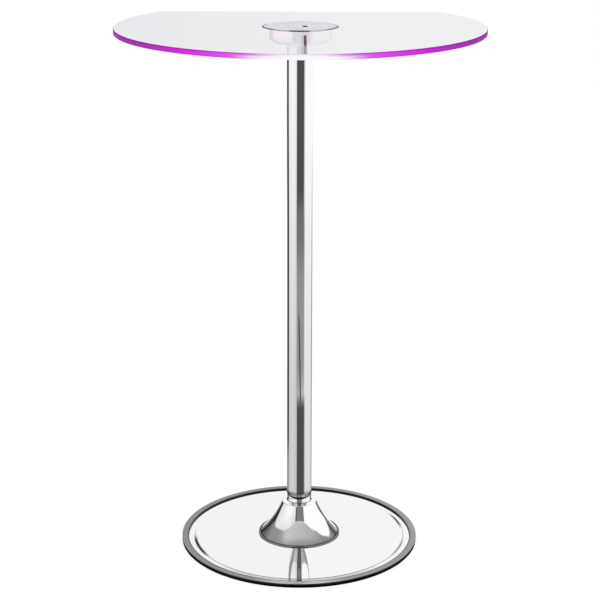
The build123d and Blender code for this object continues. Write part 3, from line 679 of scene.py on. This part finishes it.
# The studio as bright metal sees it, by direction: degrees from the front, positive to the right.
# The dim ceiling begins at CEILING_FOOT and ends at CEILING_HEAD, both in degrees above the horizon.
CEILING_FOOT = (
    (-180, -25), (-150, -25), (-140, -20), (-128, -14), (-121, 8), (-115, 17), (-105, 23.5),
    (-95, 28.5), (-85, 33), (-75, 36.5), (-65, 39.5), (-45, 40), (-35, 39), (-22, 36.5),
    (36, 36.5), (45, 38), (58, 39), (68, 38.5), (75, 36.8), (85, 37), (95, 36), (105, 32.5),
    (115, 28.5), (125, 18.5), (135, 7), (145, -5), (155, -14), (180, -25),
)
CEILING_HEAD = (
    (-180, 0), (-165, 3), (-155, 8), (-145, 13), (-135, 20.5), (-125, 26.5), (-115, 38),
    (-105, 43), (-95, 53), (-85, 57), (-75, 59), (-60, 63), (-45, 65), (0, 67), (30, 66),
    (46, 64), (60, 61), (75, 57), (87, 54), (96, 49), (105, 41), (115, 33), (125, 27),
    (135, 20.5), (145, 13), (155, 6), (168, 2), (180, 0),
)
CEILING_RANGE = (-30.0, 80.0)
CEILING_SOFT = 1.2
# Display tones of the ceiling and of the walls
CEILING_TONE = (
    (-180, 200), (-168, 120), (-158, 75), (-148, 70), (-133, 88), (-126, 112), (-118, 138),
    (-110, 146), (-100, 142), (-90, 148), (-80, 158), (-70, 176), (-60, 204), (-45, 207),
    (0, 198), (20, 193), (35, 187), (50, 184), (65, 178), (75, 166), (88, 153), (98, 142),
    (108, 146), (118, 150), (123, 150), (129, 126), (135, 100), (138, 62), (144, 62),
    (149, 165), (155, 205), (180, 215),
)
WALL_TONE = (
    (-180, 249), (-150, 247), (-125, 226), (-105, 232), (-85, 243), (-65, 255), (-45, 254),
    (-32, 240), (-20, 244), (0, 252), (30, 258), (120, 258), (150, 254), (180, 250),
)
WALL_RANGE = (200.0, 260.0)
DISPLAY_GAMMA = 2.2
# Patches of the sky below: angles (from, to, soft) and heights (from, to), in degrees.
# The left wall gets darker upwards by this many display levels
SINK_ANGLES = (-100.0, -20.0, 8.0)
SINK_HEIGHTS = (20.0, 38.0)
SINK_LEVELS = 20.0
# The ceiling's upper border, this deep, is dimmer
BORDER_ANGLES = (-100.0, 100.0, 15.0)
BORDER_DEPTH = 16.0
BORDER_SHARE = 0.75
BORDER_TONE = 122
# Streaks of the ceiling, per degree round and up
STREAK_ROUND = 0.16
STREAK_UP = 0.02
STREAK_SHARE = 0.30
STREAK_TONE = 150
# The camera's side is darker, most of all at its left border
PATCH_ANGLES = (-21.0, 27.0, 3.0)
PATCH_TOP = (34.0, 38.0)
PATCH_TONE = 124
PATCH_LEFT = (-22.0, -12.0, 3.0)
PATCH_LEFT_TONE = 94
# Dark flag low at the back, to the left
FLAG_ANGLES = (-160.0, -124.0, 3.0)
FLAG_TOP = (7.0, 12.0)
FLAG_TONE = 50
# Light for the matt pieces
AMBIENT_COLOUR = (0.9, 0.9, 0.9, 1)
AMBIENT_STRENGTH = 0.9


def wall_colour(tree, angle, height):
    """White walls by direction, darker upwards at the left."""
    risen = tree.smooth(height, *SINK_HEIGHTS)
    sinking = tree.product(risen, tree.band(angle, *SINK_ANGLES), SINK_LEVELS)
    level = tree.math("SUBTRACT", tree.lookup(angle, WALL_TONE, *WALL_RANGE), sinking)
    light = tree.math("POWER", tree.math("DIVIDE", level, 255.0), DISPLAY_GAMMA)
    return tree.node("ShaderNodeCombineXYZ", X=light, Y=light, Z=light)


def ceiling_colour(tree, angle, height):
    """Dim ceiling by direction, with faint streaks."""
    dim = tree.by_angle(angle, greys(CEILING_TONE))
    ray = tree.node(
        "ShaderNodeCombineXYZ",
        X=tree.math("MULTIPLY", angle, STREAK_ROUND),
        Y=tree.math("MULTIPLY", height, STREAK_UP),
    )
    return tree.over(dim, STREAK_TONE, tree.noise(ray, 1.0, 2.0), STREAK_SHARE)


def make_world():
    """White to the eye; to metal a studio: white walls, a dim ceiling, a darker camera side."""
    world = bpy.data.worlds.new("studio")
    SCENE.world = world
    tree = Tree(world)
    x, y, z = tree.parts(tree.node("ShaderNodeTexCoord").outputs["Generated"])
    angle, _ = tree.polar(x, y)
    height = tree.math("MULTIPLY", tree.math("ARCSINE", z), DEGREES)
    foot = tree.lookup(angle, CEILING_FOOT, *CEILING_RANGE)
    head = tree.lookup(angle, CEILING_HEAD, *CEILING_RANGE)
    ceiling = tree.band(height, foot, head, CEILING_SOFT)
    border = tree.smooth(height, tree.math("SUBTRACT", head, BORDER_DEPTH), head)
    patch = tree.product(tree.band(angle, *PATCH_ANGLES), tree.flip(tree.smooth(height, *PATCH_TOP)))
    patch_tone = tree.mix(tree.band(angle, *PATCH_LEFT), grey(PATCH_TONE), grey(PATCH_LEFT_TONE))
    sky = tree.mix(patch, wall_colour(tree, angle, height), patch_tone)
    sky = tree.mix(ceiling, sky, ceiling_colour(tree, angle, height))
    sky = tree.over(sky, BORDER_TONE, ceiling, border, tree.band(angle, *BORDER_ANGLES), BORDER_SHARE)
    low = tree.flip(tree.smooth(height, *FLAG_TOP))
    sky = tree.over(sky, FLAG_TONE, tree.band(angle, *FLAG_ANGLES), low)
    rays = tree.node("ShaderNodeLightPath")
    ambient = tree.node("ShaderNodeBackground", Color=AMBIENT_COLOUR, Strength=AMBIENT_STRENGTH)
    studio = tree.node("ShaderNodeBackground", Color=sky, Strength=1.0)
    white = tree.node("ShaderNodeBackground", Color=WHITE, Strength=1.0)
    shown = tree.blend(rays.outputs["Is Glossy Ray"], ambient, studio)
    tree.output(tree.blend(tree.seen_directly(rays), shown, white), "ShaderNodeOutputWorld")


def mesh_object(name, points):
    """A single flat face as an object of the studio."""
    mesh = bpy.data.meshes.new(name)
    mesh.from_pydata(points, [], [list(range(len(points)))])
    made = bpy.data.objects.new(name, mesh)
    SCENE.collection.objects.link(made)
    return made


# Floor: its radius, corners and gap below the object, in metres, and its brightness to the eye
FLOOR_RADIUS = 14.0
FLOOR_SIDES = 128
FLOOR_GAP = 0.0005
FLOOR_WHITE = 1.06
FLOOR_PALE = (0.92, 0.92, 0.92, 1)
# Share of the floor that takes shadows
FLOOR_SHADED = 0.20
# Tones of the floor in metal, at the left and the right, by share of this reach
FLOOR_SPAN = 8.0
FLOOR_LEFT = ((0.0, 204), (0.12, 213), (0.2, 226), (0.35, 241), (0.7, 255))
FLOOR_RIGHT = ((0.0, 218), (0.12, 230), (0.2, 236), (0.35, 247), (0.6, 255))
FLOOR_TURN = (-20.0, 20.0)
# Faint sheen over the left side, palest in its own band
SHEEN_TURN = (-30.0, 0.0)
SHEEN_ANGLES = (-80.0, -55.0, 22.0)
SHEEN_TONE = 150
SHEEN_PALEST = 255
SHEEN_SHARE = 0.16
# Contact shade round the base, in metres
CONTACT_WIDTH = 0.024
# Bound of a band that has none on that side
BEYOND = 99.0
# Patches of the floor in metal, laid over one another: angles in degrees and reaches in metres, both
# as (from, to, soft), share and display tone. First the aisle's middle, which the slanting line crosses
AISLE_MIDDLE = (((-27.0, 42.0, 7.0), (0.85, 2.70, 0.30), 0.90, 134),)
# Line that slants across the aisle: its angle by reach (slope, at the axis), half width and softness
LINE_SLANT = (-22.0, 28.0)
LINE_HALF = 5.0
LINE_SOFT = 4.0
LINE_REACH = (0.70, 1.55, 0.10)
LINE_SHARE = 0.95
LINE_TONE = 40
# Aisle's far and near end, each after its fringe
AISLE_ENDS = (
    ((-31.0, 45.0, 5.0), (2.15, BEYOND, 0.65), 0.45, 120),
    ((-28.0, 36.0, 4.0), (2.45, BEYOND, 0.75), 1.0, 78),
    ((-26.0, 51.0, 3.0), (0.10, 0.86, 0.06), 0.5, 110),
    ((-22.0, 43.0, 4.0), (0.10, 0.84, 0.06), 1.0, 76),
)
# Dark patch at the back left, which turns outwards over this reach: borders as (turn, at the base)
DARK_TURN = (2.0, 5.0)
DARK_FROM = (-30.0, -148.0)
DARK_TO = (-7.0, -112.0)
DARK_SOFT = 4.0
# It deepens over the reach DARK_DEEPENS, by DARK_DEPTH as (gain, at the base)
DARK_DEEPENS = (0.42, 0.60)
DARK_DEPTH = (0.42, 0.55)
DARK_TONE = 22
# Dark patch at the back right, and the contact shade
LAST_PATCHES = (
    ((131.0, 152.0, 4.0), (-BEYOND, 3.0, 2.0), 0.80, 60),
    ((-84.0, 84.0, 8.0), (-BEYOND, BASE_RADIUS + CONTACT_WIDTH, 0.5 * CONTACT_WIDTH), 1.0, 20),
)


def lay_patches(tree, shown, angle, reach, patches):
    """Patches laid over a colour in their order."""
    for angles, reaches, share, tone in patches:
        shown = tree.over(shown, tone, tree.band(angle, *angles), tree.band(reach, *reaches), share)
    return shown


def floor_in_metal(tree):
    """The studio's floor as bright metal sees it: light sides and a dark aisle to the camera."""
    angle, reach = tree.polar(tree.x, tree.y)
    part = tree.math("DIVIDE", reach, FLOOR_SPAN)
    left, right = tree.ramp(part, greys(FLOOR_LEFT)), tree.ramp(part, greys(FLOOR_RIGHT))
    shown = tree.mix(tree.smooth(angle, *FLOOR_TURN), left, right)
    sheen = tree.mix(tree.band(angle, *SHEEN_ANGLES), grey(SHEEN_TONE), grey(SHEEN_PALEST))
    sheen = tree.mix(SHEEN_SHARE, shown, sheen)
    shown = tree.mix(tree.flip(tree.smooth(angle, *SHEEN_TURN)), shown, sheen)
    shown = lay_patches(tree, shown, angle, reach, AISLE_MIDDLE)
    slant = tree.math("MULTIPLY_ADD", reach, *LINE_SLANT)
    line_from, line_to = (tree.math(side, slant, LINE_HALF) for side in ("SUBTRACT", "ADD"))
    line = tree.band(angle, line_from, line_to, LINE_SOFT)
    shown = tree.over(shown, LINE_TONE, line, tree.band(reach, *LINE_REACH), LINE_SHARE)
    shown = lay_patches(tree, shown, angle, reach, AISLE_ENDS)
    off = tree.smooth(reach, *DARK_TURN)
    dark_from, dark_to = (tree.math("MULTIPLY_ADD", off, *border) for border in (DARK_FROM, DARK_TO))
    depth = tree.math("MULTIPLY_ADD", tree.smooth(reach, *DARK_DEEPENS), *DARK_DEPTH)
    shown = tree.over(shown, DARK_TONE, tree.band(angle, dark_from, dark_to, DARK_SOFT), depth)
    return lay_patches(tree, shown, angle, reach, LAST_PATCHES)


def make_floor():
    """Pale floor with a faint shadow, the studio's floor in metal, and clear from below."""
    turns = [2 * math.pi * side / FLOOR_SIDES for side in range(FLOOR_SIDES)]
    points = [(FLOOR_RADIUS * math.cos(turn), FLOOR_RADIUS * math.sin(turn), 0.0) for turn in turns]
    floor = mesh_object("studio_floor", points)
    floor.location.z = -FLOOR_GAP
    tree = Surface("studio_floor")
    pale = tree.node("ShaderNodeBsdfDiffuse", Color=FLOOR_PALE)
    to_eye = tree.blend(FLOOR_SHADED, tree.emission(WHITE, FLOOR_WHITE), pale)
    rays = tree.node("ShaderNodeLightPath")
    shown = tree.blend(rays.outputs["Is Glossy Ray"], pale, tree.emission(floor_in_metal(tree)))
    shown = tree.blend(tree.seen_directly(rays), shown, to_eye)
    below = tree.node("ShaderNodeNewGeometry").outputs["Backfacing"]
    tree.output(tree.blend(below, shown, tree.clear()))
    floor.data.materials.append(tree.material)


# Dark card in front of the column, in metres: half width, back, front and height
CARD_HALF = 0.060
CARD_BACK = -0.030
CARD_FRONT = -0.112
CARD_HEIGHT = 0.160
# Its dark part: shift to the right, half width at the column, and widening forward
CARD_SIDE = 0.003
CARD_START = 0.006
CARD_SPREAD = 0.42
CARD_TONE = 92
CARD_HIDDEN_FROM = ("camera", "diffuse", "transmission", "volume_scatter", "shadow")


def make_card():
    """Level card, dark from below alone, so that the disc shows the column with its dark middle."""
    points = [
        (-CARD_HALF, CARD_FRONT, CARD_HEIGHT),
        (CARD_HALF, CARD_FRONT, CARD_HEIGHT),
        (CARD_HALF, CARD_BACK, CARD_HEIGHT),
        (-CARD_HALF, CARD_BACK, CARD_HEIGHT),
    ]
    card = mesh_object("studio_card", points)
    for rays in CARD_HIDDEN_FROM:
        setattr(card, "visible_" + rays, False)
    tree = Surface("studio_card")
    side = tree.math("ABSOLUTE", tree.math("SUBTRACT", tree.x, CARD_SIDE))
    forward = tree.math("SUBTRACT", -COLUMN_RADIUS, tree.y)
    wide = tree.math("MULTIPLY_ADD", forward, CARD_SPREAD, CARD_START)
    below = tree.node("ShaderNodeNewGeometry").outputs["Backfacing"]
    shown = tree.product(tree.math("LESS_THAN", side, wide), below)
    tree.output(tree.blend(shown, tree.clear(), tree.emission(grey(CARD_TONE))))
    card.data.materials.append(tree.material)


# Soft lights: name, place and size in metres, and power in watts; both point at the target
LIGHTS = (("key", (-1.6, -1.8, 2.6), 1.6, 18.0), ("fill", (1.8, -1.4, 2.2), 1.8, 12.0))
LIGHT_TARGET = (0, 0, 0.5)


def make_lights():
    """Soft square lights that no bright piece shows."""
    for name, place, size, power in LIGHTS:
        data = bpy.data.lights.new(name, "AREA")
        data.shape = "SQUARE"
        data.size = size
        data.energy = power
        data.specular_factor = 0.0
        made = bpy.data.objects.new(name, data)
        made.location = place
        made.rotation_euler = (Vector(LIGHT_TARGET) - Vector(place)).to_track_quat("-Z", "Y").to_euler()
        made.visible_glossy = False
        made.visible_camera = False
        SCENE.collection.objects.link(made)


# Camera: the photograph's viewing angle, in metres and degrees; lens and sensor in millimetres
CAMERA_DISTANCE = 3.1797
CAMERA_HEIGHT = 1.4699
CAMERA_TILT = 16.9935
CAMERA_ROLL = 0.15
CAMERA_YAW = 0.012
CAMERA_LENS = 101.56
CAMERA_SHIFT = 0.00497
CAMERA_CLIP = (0.05, 60.0)
SENSOR_WIDTH = 36.0


def make_camera():
    data = bpy.data.cameras.new("camera")
    data.lens = CAMERA_LENS
    data.sensor_width = SENSOR_WIDTH
    data.shift_y = CAMERA_SHIFT
    data.clip_start, data.clip_end = CAMERA_CLIP
    made = bpy.data.objects.new("camera", data)
    turn = Matrix.Rotation(math.radians(-CAMERA_YAW), 4, "Z")
    tilt = Matrix.Rotation(math.radians(90 - CAMERA_TILT), 4, "X")
    roll = Matrix.Rotation(math.radians(CAMERA_ROLL), 4, "Z")
    made.matrix_world = Matrix.Translation((0, -CAMERA_DISTANCE, CAMERA_HEIGHT)) @ turn @ tilt @ roll
    SCENE.collection.objects.link(made)
    SCENE.camera = made


# Corners sharper than this stay crisp, in degrees
CREASE = 30


def shade_smooth():
    """Smooth shading on the turned pieces, with crisp edges kept."""
    for node in NODES.values():
        for polygon in node.data.polygons:
            polygon.use_smooth = True
        node.data.set_sharp_from_angle(angle=math.radians(CREASE))


SCENE.view_settings.view_transform = "Standard"
make_camera()
make_world()
make_floor()
make_card()
make_lights()
make_materials()
shade_smooth()
